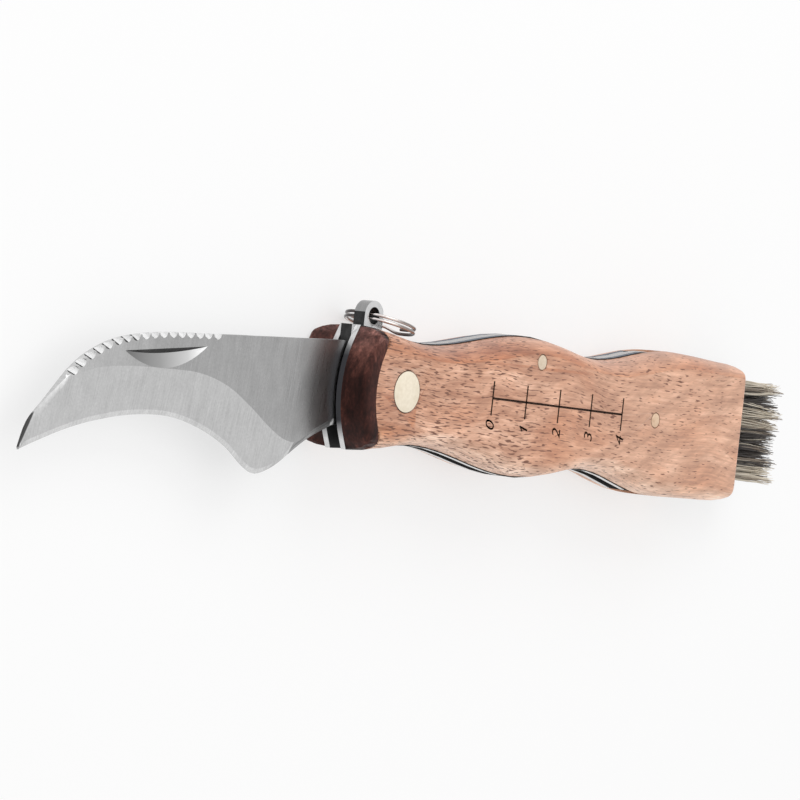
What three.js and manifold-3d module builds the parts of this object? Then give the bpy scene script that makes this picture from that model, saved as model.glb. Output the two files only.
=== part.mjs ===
// A folding mushroom knife: hooked blade, wooden handle on steel liners, brush in the butt.
// Millimetres. The knife lies on its far side: X runs from the pivot towards the brush,
// Y towards the knife's back, and Z up through its thickness, with Z = 0 on the far face.
// The origin is the pivot's axis on that far face.
import * as THREE from 'three';
import { mergeVertices } from 'three/addons/utils/BufferGeometryUtils.js';
import Module from 'manifold-3d';

const wasm = await Module();
wasm.setup();

// Thickness of the stack, from the far face to the near face
const scaleThickness = 5.85;
const linerThickness = 1.0;
const bladeThickness = 1.6;
const washerThickness = 0.25;
const sideClearance = 0.1;
const slotWidth = bladeThickness + 2 * washerThickness + 2 * sideClearance;
const farLinerZ = scaleThickness;
const slotZ = farLinerZ + linerThickness;
const nearLinerZ = slotZ + slotWidth;
const nearScaleZ = nearLinerZ + linerThickness;
const totalThickness = nearScaleZ + scaleThickness;
const middleZ = totalThickness / 2;

// Side view of the handle: the crests and hollows of its wavy back and belly
const buttX = 105.8;
const frontCornerX = -6.5;
const backFront = 9.95;
const backNeckX = 10;
const backNeck = 8.3;
const backBulgeX = 40.5;
const backBulge = 12.2;
const backWaistX = 61;
const backWaist = 10.0;
const backShoulderX = 86;
const backShoulder = 13.5;
const backButt = 12.9;
const bellyFront = 10.4;
const bellyNeckX = 10;
const bellyNeck = 8.65;
const bellyBulgeX = 40.5;
const bellyBulge = 12.35;
const bellyWaistX = 60.5;
const bellyWaist = 9.75;
const bellyShoulderX = 84;
const bellyShoulder = 13.45;
const bellyButt = 13.3;
const frontNoseX = -10.1;
const frontArcRadius = 18.5;
const frontArcX = frontNoseX + frontArcRadius;
const frontArcY = -0.5;
const buttCornerRadius = 3.4;
const edgeRoundWidth = 2.8;
const edgeRoundDepth = 5.7;
const endRound = 1.4;
const steelProud = 0.2;
const overrun = 8;

// The joint between the dark front piece and the light scale
const bolsterLength = 1.9;
const jointRadius = 14.5;
const jointX = frontNoseX + bolsterLength + jointRadius;
const jointY = -0.17;
const glueGap = 0.3;

// Pins
const pivotRadius = 1.9;
const capRadius = 3.54;
const capThickness = 1.4;
const washerRadius = 5.2;
const runningClearance = 0.08;
const seatGap = 0.1;
const smallPinRadius = 1.38;
const plugThickness = 1.2;
const springPinX = 37.8;
const springPinY = 8.0;
const rearPinX = 75.4;
const rearPinY = 0.44;

// Blade, in its open place
const tangRadius = 5.8;
const shoulderX = -8.2;
const tangEndX = -9.5;
const tipX = -83.1;
const heelDepth = 15.95;
const cuttingEdgeThickness = 0.16;
const bevelWidth = 0.8;
const grindRun = 7.4;
const tipShare = 0.3;
const rearThinShare = 0.45;
const bevelShare = 0.5;
const bevelThickness = 0.5;
const swedgeThickness = 0.4;
const teethStartX = -41.1;
const toothPitch = 2.12;
const toothCount = 17;
const toothCutRadius = 1.0;
const toothDepth = 0.68;
const toothLean = 0.55;
const nickDepth = 0.7;
const nickLeftX = -62.5;
const nickRightX = -43.2;
const nickTopY = 1.1;
const nickHeight = 3.05;
const nickWall = 0.75;
const nickRise = 2.25;
const nickSides = 420;

// Back spring
const springSeatGap = 0.15;
const springNoseX = -7.9;
const springArch = 3.4;
const springBossRadius = 2.9;
const springTailDrop = 3.4;
const springTailGap = 1.5;

// Key ring and the eye that carries it
const eyeX = -2.3;
const eyeY = 12.0;
const eyeRadius = 2.5;
const eyeHoleRadius = 1.45;
const ringRadius = 5.9;
const ringWire = 0.55;
const ringTurnGap = 0.42;
const ringJog = 0.3;
const ringLean = [0.94, -0.15, -0.3];
const ringAcross = [0.6, -0.14, 0.79];
const ringSteps = 24;
const ringSides = 6;

// Brush
const spacerLength = 20.3;
const linerEndX = buttX - spacerLength;
const brushHeight = 18.4;
const brushThickness = 8.6;
const brushMiddleY = 0.6;
const brushBlockDepth = 14;
const brushRecess = 1.2;
const bristleSlice = 1.0;
const bristleLength = 21.0;
const bristleUneven = 2.4;
const bristleRadius = 0.17;
const bristlePitchY = 0.62;
const bristlePitchZ = 0.64;
const bristleSplay = 0.04;
const bristleScatter = 0.1;
const pocketGap = 0.3;

const roundSteps = 5;
const pinSides = 32;
const waveSteps = 7;
const frontSteps = 14;
const jointSteps = 20;
const springSteps = 44;
const stationSteps = 4;
const tangSteps = 20;
const spineSteps = 400;
const toothSides = 16;
const weldDistance = 1e-4;

// A closed mesh becomes a solid for cuts and joins, and comes back as plain triangles
function solid(geometry) {
  const bare = geometry.clone();
  bare.deleteAttribute('normal');
  bare.deleteAttribute('uv');
  const merged = mergeVertices(bare, weldDistance);
  return new wasm.Manifold(new wasm.Mesh({
    numProp: 3,
    vertProperties: Float32Array.from(merged.attributes.position.array),
    triVerts: Uint32Array.from(merged.index.array),
  }));
}

function surface(body) {
  const mesh = body.getMesh();
  const geometry = new THREE.BufferGeometry();
  geometry.setAttribute('position', new THREE.BufferAttribute(mesh.vertProperties, 3));
  geometry.setIndex(new THREE.BufferAttribute(mesh.triVerts, 1));
  return geometry;
}

function skin(vertices, faces) {
  const geometry = new THREE.BufferGeometry();
  geometry.setAttribute('position', new THREE.Float32BufferAttribute(vertices, 3));
  geometry.setIndex(faces);
  return geometry;
}

function shapeOf(points) {
  return new THREE.Shape(points.map(([x, y]) => new THREE.Vector2(x, y)));
}

// A side-view outline given a thickness, from low to high
function prism(shape, low, high) {
  const geometry = new THREE.ExtrudeGeometry(shape, { depth: high - low, bevelEnabled: false });
  return geometry.translate(0, 0, low);
}

// The same with its upper rim rounded; it runs on below low, to be trimmed there
function rounded(shape, low, high, width, depth) {
  const straight = high - low + overrun - depth;
  const geometry = new THREE.ExtrudeGeometry(shape, {
    depth: straight,
    bevelEnabled: true,
    bevelThickness: depth,
    bevelSize: width,
    bevelOffset: -width,
    bevelSegments: roundSteps,
  });
  return geometry.translate(0, 0, high - depth - straight);
}

function rod(radius, low, high, x, y, sides = pinSides) {
  const geometry = new THREE.CylinderGeometry(radius, radius, high - low, sides);
  geometry.rotateX(Math.PI / 2);
  return geometry.translate(x, y, (low + high) / 2);
}

function block(x0, x1, y0, y1, z0, z1) {
  const geometry = new THREE.BoxGeometry(x1 - x0, y1 - y0, z1 - z0);
  return geometry.translate((x0 + x1) / 2, (y0 + y1) / 2, (z0 + z1) / 2);
}

// The mirror image through the knife's middle plane
function mirrored(geometry) {
  const copy = geometry.clone();
  const place = copy.attributes.position;
  for (let i = 0; i < place.count; i += 1) {
    place.setZ(i, totalThickness - place.getZ(i));
  }
  const order = copy.index.array;
  for (let i = 0; i < order.length; i += 3) {
    const swap = order[i];
    order[i] = order[i + 1];
    order[i + 1] = swap;
  }
  return copy;
}

function cut(body, ...tools) {
  let result = body;
  for (const tool of tools) {
    result = result.subtract(solid(tool));
  }
  return result;
}

// The wavy line of the handle: half a cosine wave from each crest to the next hollow
const backCrests = [
  [frontCornerX, backFront],
  [backNeckX, backNeck],
  [backBulgeX, backBulge],
  [backWaistX, backWaist],
  [backShoulderX, backShoulder],
  [buttX, backButt],
];
const bellyCrests = [
  [frontCornerX, -bellyFront],
  [bellyNeckX, -bellyNeck],
  [bellyBulgeX, -bellyBulge],
  [bellyWaistX, -bellyWaist],
  [bellyShoulderX, -bellyShoulder],
  [buttX, -bellyButt],
];

function wave(crests, x) {
  const last = crests.length - 1;
  if (x <= crests[0][0]) {
    return crests[0][1];
  }
  if (x >= crests[last][0]) {
    return crests[last][1];
  }
  let i = 0;
  while (x > crests[i + 1][0]) {
    i += 1;
  }
  const [x0, y0] = crests[i];
  const [x1, y1] = crests[i + 1];
  const blend = (1 - Math.cos(Math.PI * (x - x0) / (x1 - x0))) / 2;
  return y0 + (y1 - y0) * blend;
}

// Points along one line of the handle between two places
function waveLine(crests, x0, x1, proud = 0) {
  const count = Math.max(2, Math.round(waveSteps * (x1 - x0) / (backBulgeX - backNeckX)));
  const points = [];
  for (let i = 0; i <= count; i += 1) {
    const x = x0 + (x1 - x0) * i / count;
    points.push([x, wave(crests, x) + proud]);
  }
  return points;
}

// The front end, an arc bulging towards the blade, met where it crosses back or belly
function frontX(y) {
  return frontArcX - Math.sqrt(frontArcRadius ** 2 - (y - frontArcY) ** 2);
}

function frontLine() {
  const points = [];
  for (let i = 1; i < frontSteps; i += 1) {
    const y = backFront - (backFront + bellyFront) * i / frontSteps;
    points.push([frontX(y), y]);
  }
  return points;
}

function buttCorner(x, y, side) {
  const points = [];
  for (let i = 0; i <= roundSteps; i += 1) {
    const angle = Math.PI / 2 * i / roundSteps;
    const dx = buttCornerRadius * (Math.sin(angle) - 1);
    const dy = buttCornerRadius * (1 - Math.cos(angle));
    points.push([x + dx, y - side * dy]);
  }
  return points;
}

// The whole side view, or the stretch of it before endX where a piece stops short
function handleOutline(endX, proud) {
  const full = endX >= buttX;
  const lineEnd = full ? buttX - buttCornerRadius : endX;
  const back = waveLine(backCrests, frontX(backFront), lineEnd, proud);
  const belly = waveLine(bellyCrests, frontX(-bellyFront), lineEnd, -proud).reverse();
  const front = frontLine().reverse();
  if (!full) {
    return [...back, ...belly, ...front];
  }
  const upper = buttCorner(buttX, wave(backCrests, lineEnd), 1).slice(1);
  const lower = buttCorner(buttX, wave(bellyCrests, lineEnd), -1).slice(1).reverse();
  return [...back, ...upper, ...lower, ...belly, ...front];
}

// The handle's cross-section rounding runs past both ends and is trimmed by the outline
function crownOutline() {
  const back = waveLine(backCrests, frontCornerX - 2 * overrun, buttX + overrun);
  const belly = waveLine(bellyCrests, frontCornerX - 2 * overrun, buttX + overrun).reverse();
  return [...back, ...belly];
}

function pinHoles(radius, x, y) {
  return rod(radius + seatGap, -overrun, totalThickness + overrun, x, y);
}

// Light wood behind the joint, dark wood in front of it
function jointOutline(growth) {
  const points = [];
  const far = buttX + 2 * overrun;
  const radius = jointRadius + growth;
  const reach = bellyShoulder + overrun;
  for (let i = 0; i <= jointSteps; i += 1) {
    const angle = Math.PI / 2 + Math.PI * i / jointSteps;
    points.push([jointX + radius * Math.cos(angle), jointY + radius * Math.sin(angle)]);
  }
  points.push([jointX + overrun / 2, -reach]);
  points.push([far, -reach]);
  points.push([far, reach]);
  points.push([jointX + overrun / 2, reach]);
  return points;
}

const woodOutline = shapeOf(handleOutline(buttX, 0));
const crown = shapeOf(crownOutline());

function woodSlab() {
  const body = solid(rounded(crown, nearScaleZ, totalThickness, edgeRoundWidth, edgeRoundDepth))
    .intersect(solid(rounded(woodOutline, nearScaleZ, totalThickness, endRound, endRound)));
  const below = block(
    -2 * buttX, 2 * buttX, -buttX, buttX, nearScaleZ - totalThickness - overrun, nearScaleZ,
  );
  return cut(body, below);
}

const brushBackX = buttX - brushRecess - brushBlockDepth;
const brushLowY = brushMiddleY - brushHeight / 2;
const brushHighY = brushMiddleY + brushHeight / 2;
const brushLowZ = middleZ - brushThickness / 2;
const brushHighZ = middleZ + brushThickness / 2;

function brushSocket() {
  return block(
    brushBackX - pocketGap, buttX + overrun,
    brushLowY - pocketGap, brushHighY + pocketGap,
    brushLowZ - pocketGap, brushHighZ + pocketGap,
  );
}

function capSeat() {
  const low = totalThickness - capThickness - seatGap;
  return rod(capRadius + seatGap, low, totalThickness + overrun, 0, 0);
}

function nearScaleGeometry() {
  const body = cut(
    woodSlab().intersect(solid(prism(shapeOf(jointOutline(0)), -overrun, totalThickness + overrun))),
    brushSocket(),
    capSeat(),
    pinHoles(pivotRadius, 0, 0),
    pinHoles(smallPinRadius, springPinX, springPinY),
    pinHoles(smallPinRadius, rearPinX, rearPinY),
  );
  return surface(body);
}

function nearBolsterGeometry() {
  const front = prism(shapeOf(jointOutline(glueGap)), -overrun, totalThickness + overrun);
  return surface(cut(woodSlab(), front));
}

function linerGeometry(low) {
  const body = cut(
    solid(prism(shapeOf(handleOutline(linerEndX, steelProud)), low, low + linerThickness)),
    pinHoles(pivotRadius, 0, 0),
    pinHoles(smallPinRadius, springPinX, springPinY),
    pinHoles(smallPinRadius, rearPinX, rearPinY),
  );
  return surface(body);
}

// The spacer closes the handle behind the liners and frames the brush block
function buttSpacerGeometry() {
  const body = cut(
    solid(prism(woodOutline, farLinerZ, nearScaleZ)),
    block(-buttX, linerEndX, -buttX, buttX, -overrun, totalThickness + overrun),
    brushSocket(),
  );
  return surface(body);
}

// The spring: its back is the handle's back, and its underside arches clear of the blade's heel
function springGeometry() {
  const rest = tangRadius + springSeatGap;
  const neckX = backNeckX;
  const tailX = linerEndX - springTailGap;
  const archX = (neckX + springPinX) / 2 + springBossRadius;
  const waistX = (springPinX + backWaistX) / 2;
  const underside = new THREE.SplineCurve([
    new THREE.Vector2(springNoseX, rest),
    new THREE.Vector2(0, rest),
    new THREE.Vector2(neckX, rest),
    new THREE.Vector2(archX, wave(backCrests, archX) - springArch),
    new THREE.Vector2(springPinX - springBossRadius, springPinY - smallPinRadius),
    new THREE.Vector2(springPinX, springPinY - springBossRadius),
    new THREE.Vector2(springPinX + springBossRadius, springPinY - smallPinRadius),
    new THREE.Vector2(waistX, wave(backCrests, waistX) - springArch),
    new THREE.Vector2(backWaistX, wave(backCrests, backWaistX) - springArch),
    new THREE.Vector2(rearPinX - springTailDrop, rearPinY - smallPinRadius),
    new THREE.Vector2(rearPinX, rearPinY - springTailDrop),
    new THREE.Vector2(tailX - springTailDrop, rearPinY - springTailDrop),
  ]);
  const lower = underside.getPoints(springSteps).map((point) => [point.x, point.y]);
  const upper = waveLine(backCrests, springNoseX, tailX, steelProud).reverse();
  const bar = solid(prism(shapeOf([...lower, ...upper]), slotZ, nearLinerZ));
  const neck = shapeOf([
    [eyeX - eyeRadius, backFront - springArch / 2],
    [eyeX + eyeRadius, backNeck - springArch / 2],
    [eyeX + eyeRadius, eyeY],
    [eyeX - eyeRadius, eyeY],
  ]);
  const body = bar
    .add(solid(prism(neck, slotZ, nearLinerZ)))
    .add(solid(rod(eyeRadius, slotZ, nearLinerZ, eyeX, eyeY)));
  return surface(cut(
    body,
    rod(eyeHoleRadius, -overrun, totalThickness + overrun, eyeX, eyeY),
    pinHoles(smallPinRadius, springPinX, springPinY),
    pinHoles(smallPinRadius, rearPinX, rearPinY),
  ));
}

// The blade's side view in stations from the handle to the tip: its spine, the line where the
// flat side turns into the bevel, and its lower edge. Each point is a share of the blade's
// reach along X and a share of its heel's depth along Y
const bladeStationShares = [
  { spine: [0.114, 0.458], grind: [0.114, -0.351], edge: [0.114, -0.426] },
  { spine: [0.217, 0.426], grind: [0.176, -0.495], edge: [0.181, -0.577] },
  { spine: [0.301, 0.401], grind: [0.221, -0.633], edge: [0.229, -0.727] },
  { spine: [0.361, 0.382], grind: [0.266, -0.621], edge: [0.284, -0.915] },
  { spine: [0.415, 0.367], grind: [0.320, -0.495], edge: [0.332, -1.000] },
  { spine: [0.463, 0.351], grind: [0.371, -0.345], edge: [0.374, -0.928] },
  { spine: [0.517, 0.335], grind: [0.448, -0.157], edge: [0.430, -0.752] },
  { spine: [0.602, 0.310], grind: [0.535, -0.060], edge: [0.510, -0.602] },
  { spine: [0.686, 0.263], grind: [0.638, -0.056], edge: [0.602, -0.517] },
  { spine: [0.770, 0.169], grind: [0.741, -0.075], edge: [0.709, -0.539] },
  { spine: [0.838, 0.009], grind: [0.826, -0.132], edge: [0.817, -0.643] },
  { spine: [0.886, -0.182], grind: [0.886, -0.257], edge: [0.890, -0.752] },
  { spine: [0.948, -0.495], grind: [0.942, -0.558], edge: [0.943, -0.853] },
  { spine: [0.983, -0.702], grind: [0.977, -0.746], edge: [0.974, -0.915] },
  { spine: [1, -0.953], grind: [0.998, -0.963], edge: [1, -0.972] },
];
const heelStation = 4;
const swedgeStation = 11;

function bladeLine(part) {
  return new THREE.SplineCurve(bladeStationShares.map((row) => {
    const [alongShare, upShare] = row[part];
    return new THREE.Vector2(alongShare * tipX, upShare * heelDepth);
  }));
}

const spineLine = bladeLine('spine');
const grindLine = bladeLine('grind');
const edgeLine = bladeLine('edge');
const bladeLow = slotZ + washerThickness + sideClearance;
const bladeHigh = bladeLow + bladeThickness;

// From the grind line down to the edge the blade thins evenly, and towards the tip its
// back is ground thin too
function bladeGeometry() {
  const last = bladeStationShares.length - 1;
  const full = bladeThickness / 2;
  const rings = [];
  for (let i = 0; i <= last * stationSteps; i += 1) {
    const station = i / stationSteps;
    const spine = spineLine.getPoint(station / last);
    const grind = grindLine.getPoint(station / last);
    const edge = edgeLine.getPoint(station / last);
    const run = grind.distanceTo(edge);
    const ground = Math.min(1, run / grindRun);
    const towardsTip = station > swedgeStation;
    const body = towardsTip ? full * Math.max(tipShare, ground) : full;
    const thinned = station < heelStation ? Math.max(ground, rearThinShare) : 1;
    const low = body + (cuttingEdgeThickness / 2 - body) * thinned;
    const lip = body + (bevelThickness / 2 - body) * thinned;
    const bevel = edge.clone().lerp(grind, Math.min(bevelShare, bevelWidth / run));
    const swedge = THREE.MathUtils.clamp(station - swedgeStation, 0, 1);
    rings.push([
      [edge, low],
      [bevel, lip],
      [grind, body],
      [spine, body + (Math.min(body, swedgeThickness / 2) - body) * swedge],
    ]);
  }
  return loft(rings, (bladeLow + bladeHigh) / 2);
}

// A skin over rings of points, each with its half thickness, closed at both ends
function loft(rings, centre) {
  const vertices = [];
  const faces = [];
  const half = rings[0].length;
  const around = 2 * half;
  for (const ring of rings) {
    for (const [point, width] of ring) {
      vertices.push(point.x, point.y, centre + width);
    }
    for (const [point, width] of [...ring].reverse()) {
      vertices.push(point.x, point.y, centre - width);
    }
  }
  for (let i = 0; i + 1 < rings.length; i += 1) {
    for (let j = 0; j < around; j += 1) {
      const a = i * around + j;
      const b = i * around + (j + 1) % around;
      faces.push(a, b, a + around, b, b + around, a + around);
    }
  }
  const last = (rings.length - 1) * around;
  for (let j = 0; j + 1 < half; j += 1) {
    const k = around - 1 - j;
    faces.push(j, k, j + 1, k, k - 1, j + 1);
    faces.push(last + j, last + j + 1, last + k, last + k, last + j + 1, last + k - 1);
  }
  return skin(vertices, faces);
}

// The tang: a round end about the pivot, with the shoulder that stops the blade when open
function tangGeometry() {
  const spine = spineLine.getPoint(0);
  const edge = edgeLine.getPoint(0);
  const points = [[tangEndX - seatGap, spine.y], [shoulderX, spine.y], [shoulderX, tangRadius]];
  for (let i = 0; i <= tangSteps; i += 1) {
    const angle = Math.PI / 2 - Math.PI * i / tangSteps;
    points.push([tangRadius * Math.cos(angle), tangRadius * Math.sin(angle)]);
  }
  points.push([tangEndX - seatGap, edge.y]);
  return prism(shapeOf(points), bladeLow, bladeHigh);
}

// The nail nick is ground by a leaning wheel. Its flat side leaves the straight upper wall,
// and its flared rim leaves the sloping floor, which runs out in a half moon
function nickCutter() {
  const lean = Math.atan2(nickWall, nickDepth);
  const floorRun = nickHeight - nickWall;
  const flare = Math.tan(lean - Math.atan2(nickDepth, floorRun));
  const width = floorRun / (Math.cos(lean) + flare * Math.sin(lean));
  const halfLength = (nickRightX - nickLeftX) / 2;
  const sag = nickDepth / Math.cos(lean);
  const wheelRadius = (halfLength ** 2 + sag ** 2) / (2 * sag);
  const bore = wheelRadius / 2;
  const profile = [
    [bore, -width], [wheelRadius + flare * width, -width], [wheelRadius, 0], [bore, 0],
    [bore, -width],
  ].map(([radius, y]) => new THREE.Vector2(radius, y));
  const wheel = new THREE.LatheGeometry(profile, nickSides);
  wheel.translate(0, 0, wheelRadius);
  wheel.rotateX(-lean);
  wheel.rotateZ(Math.atan2(nickRise, 2 * halfLength));
  return wheel.translate(
    nickLeftX + halfLength, nickTopY + nickRise / 2 - nickWall, bladeHigh - nickDepth,
  );
}

// The scraping teeth are round notches ground into the back with a leaning wheel, so each is
// deepest on the near face
function toothCutters() {
  const cutters = [];
  const table = spineLine.getSpacedPoints(spineSteps);
  const start = table.findIndex((point) => point.x < teethStartX);
  let travelled = 0;
  let index = start;
  for (let k = 0; k < toothCount; k += 1) {
    while (travelled < k * toothPitch) {
      travelled += table[index + 1].distanceTo(table[index]);
      index += 1;
    }
    const along = table[index + 1].clone().sub(table[index - 1]).normalize();
    const lift = toothCutRadius - toothDepth;
    const x = table[index].x + along.y * lift;
    const y = table[index].y - along.x * lift;
    const axis = new THREE.Vector3(along.x, along.y, 0);
    const lean = new THREE.Matrix4().makeRotationAxis(axis, -toothLean);
    const cutter = rod(toothCutRadius, -overrun, overrun, 0, 0, toothSides);
    cutters.push(cutter.applyMatrix4(lean).translate(x, y, bladeHigh));
  }
  return cutters;
}

function wholeBladeGeometry() {
  const body = solid(bladeGeometry()).add(solid(tangGeometry()));
  const pivotHole = rod(pivotRadius + runningClearance, 0, totalThickness, 0, 0);
  return surface(cut(body, pivotHole, nickCutter(), ...toothCutters()));
}

// The key ring: two turns of wire that lie side by side and step across in a short jog
function ringGeometry() {
  const lean = new THREE.Vector3(...ringLean).normalize();
  const across = new THREE.Vector3(...ringAcross);
  across.addScaledVector(lean, -across.dot(lean)).normalize();
  const normal = new THREE.Vector3().crossVectors(lean, across);
  const eye = new THREE.Vector3(eyeX, eyeY, middleZ);
  const centre = eye.clone().addScaledVector(lean, ringRadius);
  const turnOffset = (ringWire + ringTurnGap) / 2;
  const start = ringJog;
  const sweep = 4 * Math.PI - 2 * ringJog;
  const steps = 2 * ringSteps;
  const line = [];
  for (let i = 0; i <= steps; i += 1) {
    const angle = start + sweep * i / steps;
    const past = THREE.MathUtils.clamp((angle - 2 * Math.PI) / ringJog, -1, 1);
    const side = turnOffset * Math.sin(past * Math.PI / 2);
    line.push(centre.clone()
      .addScaledVector(lean, ringRadius * Math.cos(angle))
      .addScaledVector(across, ringRadius * Math.sin(angle))
      .addScaledVector(normal, side));
  }
  measureGap(line, ringWire);
  return tube(line, normal, centre, ringWire / 2, ringSides);
}

// The least gap that a wound wire leaves to itself, measured on its points
function measureGap(line, wire) {
  let least = Infinity;
  for (let i = 0; i < line.length; i += 1) {
    for (let j = i + ringSteps / 2; j < line.length; j += 1) {
      least = Math.min(least, line[i].distanceTo(line[j]) - wire);
    }
  }
  console.log(`key ring: least gap to itself ${least.toFixed(2)} mm`);
}

// A tube along a line that keeps to a ring: each section faces along the line
function tube(line, normal, centre, radius, sides) {
  const vertices = [];
  const faces = [];
  line.forEach((point, i) => {
    const before = line[Math.max(0, i - 1)];
    const after = line[Math.min(line.length - 1, i + 1)];
    const along = after.clone().sub(before).normalize();
    const outward = point.clone().sub(centre);
    outward.addScaledVector(along, -outward.dot(along)).normalize();
    const beside = new THREE.Vector3().crossVectors(along, outward);
    for (let j = 0; j < sides; j += 1) {
      const angle = 2 * Math.PI * j / sides;
      const place = point.clone()
        .addScaledVector(outward, radius * Math.cos(angle))
        .addScaledVector(beside, radius * Math.sin(angle));
      vertices.push(place.x, place.y, place.z);
    }
  });
  for (let i = 0; i + 1 < line.length; i += 1) {
    for (let j = 0; j < sides; j += 1) {
      const a = i * sides + j;
      const b = i * sides + (j + 1) % sides;
      faces.push(a, b, a + sides, b, b + sides, a + sides);
    }
  }
  const last = (line.length - 1) * sides;
  for (let j = 1; j + 1 < sides; j += 1) {
    faces.push(0, j + 1, j, last, last + j, last + j + 1);
  }
  return skin(vertices, faces);
}

// The brush block, glued into the socket, and the slice of it that holds the bristles
const bristleRootX = buttX - brushRecess;

function brushBlockGeometry() {
  return block(
    brushBackX, bristleRootX - bristleSlice, brushLowY, brushHighY, brushLowZ, brushHighZ,
  );
}

// A repeatable scatter between -1 and 1
function scatter(seed) {
  const value = Math.sin(seed * 12.9898) * 43758.5453;
  return 2 * (value - Math.floor(value)) - 1;
}

// Three-sided hairs in rows, each standing in its own cell of the slice that holds them;
// they spread a little towards their uneven tips, so that none crosses another
function bristleGeometry() {
  const rows = Math.floor(brushHeight / bristlePitchY);
  const columns = Math.floor(brushThickness / bristlePitchZ);
  const cellY = brushHeight / rows;
  const cellZ = brushThickness / columns;
  const vertices = [];
  const faces = [];
  const add = (x, y, z) => vertices.push(x, y, z) / 3 - 1;
  const corners = [];
  for (let row = 0; row <= rows; row += 1) {
    const line = [];
    for (let column = 0; column <= columns; column += 1) {
      line.push(add(bristleRootX, brushLowY + row * cellY, brushLowZ + column * cellZ));
    }
    corners.push(line);
  }
  for (let row = 0; row < rows; row += 1) {
    for (let column = 0; column < columns; column += 1) {
      const seed = row * columns + column + 1;
      const y = brushLowY + (row + 0.5) * cellY;
      const z = brushLowZ + (column + 0.5) * cellZ;
      const length = bristleLength - bristleUneven * (1 + scatter(seed)) / 2;
      const driftY = (y - brushMiddleY) * bristleSplay + bristleScatter * scatter(seed + rows);
      const driftZ = (z - middleZ) * bristleSplay + bristleScatter * scatter(seed * 2 + rows);
      const root = [];
      const tip = [];
      for (let side = 0; side < 3; side += 1) {
        const angle = 2 * Math.PI * side / 3;
        const up = Math.cos(angle) * bristleRadius;
        const out = Math.sin(angle) * bristleRadius;
        root.push(add(bristleRootX, y + up, z + out));
        tip.push(add(bristleRootX + length, y + driftY + up / 2, z + driftZ + out / 2));
      }
      for (let side = 0; side < 3; side += 1) {
        const next = (side + 1) % 3;
        faces.push(root[side], root[next], tip[side], root[next], tip[next], tip[side]);
      }
      faces.push(tip[0], tip[1], tip[2]);
      const cell = [
        corners[row][column + 1],
        corners[row][column],
        corners[row + 1][column],
        corners[row + 1][column + 1],
      ];
      faces.push(cell[0], cell[1], root[2]);
      faces.push(cell[0], root[2], root[1]);
      faces.push(cell[1], cell[2], root[2]);
      faces.push(cell[2], root[0], root[2]);
      faces.push(cell[2], cell[3], root[0]);
      faces.push(cell[3], root[1], root[0]);
      faces.push(cell[3], cell[0], root[1]);
    }
  }
  const rim = [
    ...corners[0],
    ...corners.slice(1, -1).map((line) => line[columns]),
    ...[...corners[rows]].reverse(),
    ...corners.slice(1, -1).map((line) => line[0]).reverse(),
  ];
  const base = rim.map((index) => add(
    bristleRootX - bristleSlice,
    vertices[3 * index + 1],
    vertices[3 * index + 2],
  ));
  const middle = add(bristleRootX - bristleSlice, brushMiddleY, middleZ);
  rim.forEach((index, i) => {
    const next = (i + 1) % rim.length;
    faces.push(index, rim[next], base[next], index, base[next], base[i]);
    faces.push(base[i], base[next], middle);
  });
  return skin(vertices, faces);
}

function pinGeometry(x, y, radius, capDepth) {
  return rod(radius, capDepth + seatGap, totalThickness - capDepth - seatGap, x, y);
}

function washerGeometry(low) {
  const body = cut(
    solid(rod(washerRadius, low, low + washerThickness, 0, 0)),
    pinHoles(pivotRadius, 0, 0),
  );
  return surface(body);
}

const lightWood = { color: 0xd3a07c, roughness: 0.62, metalness: 0 };
const darkWood = { color: 0x4f2f29, roughness: 0.5, metalness: 0 };
const cream = { color: 0xefe2c9, roughness: 0.55, metalness: 0 };
const satinSteel = { color: 0xb4b6b8, roughness: 0.38, metalness: 1 };
const brightSteel = { color: 0xd6d8da, roughness: 0.25, metalness: 1 };
const brass = { color: 0xb9975a, roughness: 0.4, metalness: 1 };
const paleWood = { color: 0xc8a27e, roughness: 0.7, metalness: 0 };
const hair = { color: 0x8d8277, roughness: 0.8, metalness: 0 };

const knife = new THREE.Group();

function place(name, geometry, finish) {
  const mesh = new THREE.Mesh(geometry, new THREE.MeshStandardMaterial(finish));
  mesh.name = name;
  knife.add(mesh);
}

const nearScale = nearScaleGeometry();
const nearBolster = nearBolsterGeometry();
const nearTop = totalThickness;
place('blade', wholeBladeGeometry(), satinSteel);
place('back_spring', springGeometry(), brightSteel);
place('near_liner', linerGeometry(nearLinerZ), brightSteel);
place('far_liner', linerGeometry(farLinerZ), brightSteel);
place('near_scale', nearScale, lightWood);
place('far_scale', mirrored(nearScale), lightWood);
place('near_bolster', nearBolster, darkWood);
place('far_bolster', mirrored(nearBolster), darkWood);
place('butt_spacer', buttSpacerGeometry(), paleWood);
place('pivot_pin', pinGeometry(0, 0, pivotRadius, capThickness), brightSteel);
place('near_pivot_cap', rod(capRadius, nearTop - capThickness, nearTop, 0, 0), cream);
place('far_pivot_cap', rod(capRadius, 0, capThickness, 0, 0), cream);
place('near_washer', washerGeometry(nearLinerZ - washerThickness), brass);
place('far_washer', washerGeometry(slotZ), brass);
for (const [name, x, y] of [['spring', springPinX, springPinY], ['rear', rearPinX, rearPinY]]) {
  place(`${name}_pin`, pinGeometry(x, y, smallPinRadius, plugThickness), brightSteel);
  place(`near_${name}_plug`, rod(smallPinRadius, nearTop - plugThickness, nearTop, x, y), cream);
  place(`far_${name}_plug`, rod(smallPinRadius, 0, plugThickness, x, y), cream);
}
place('brush_block', brushBlockGeometry(), paleWood);
place('bristles', bristleGeometry(), hair);
place('split_ring', ringGeometry(), brightSteel);

export default knife;
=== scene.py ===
import bpy
import math
import random
import numpy as np
from mathutils import Matrix, Vector


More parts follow.
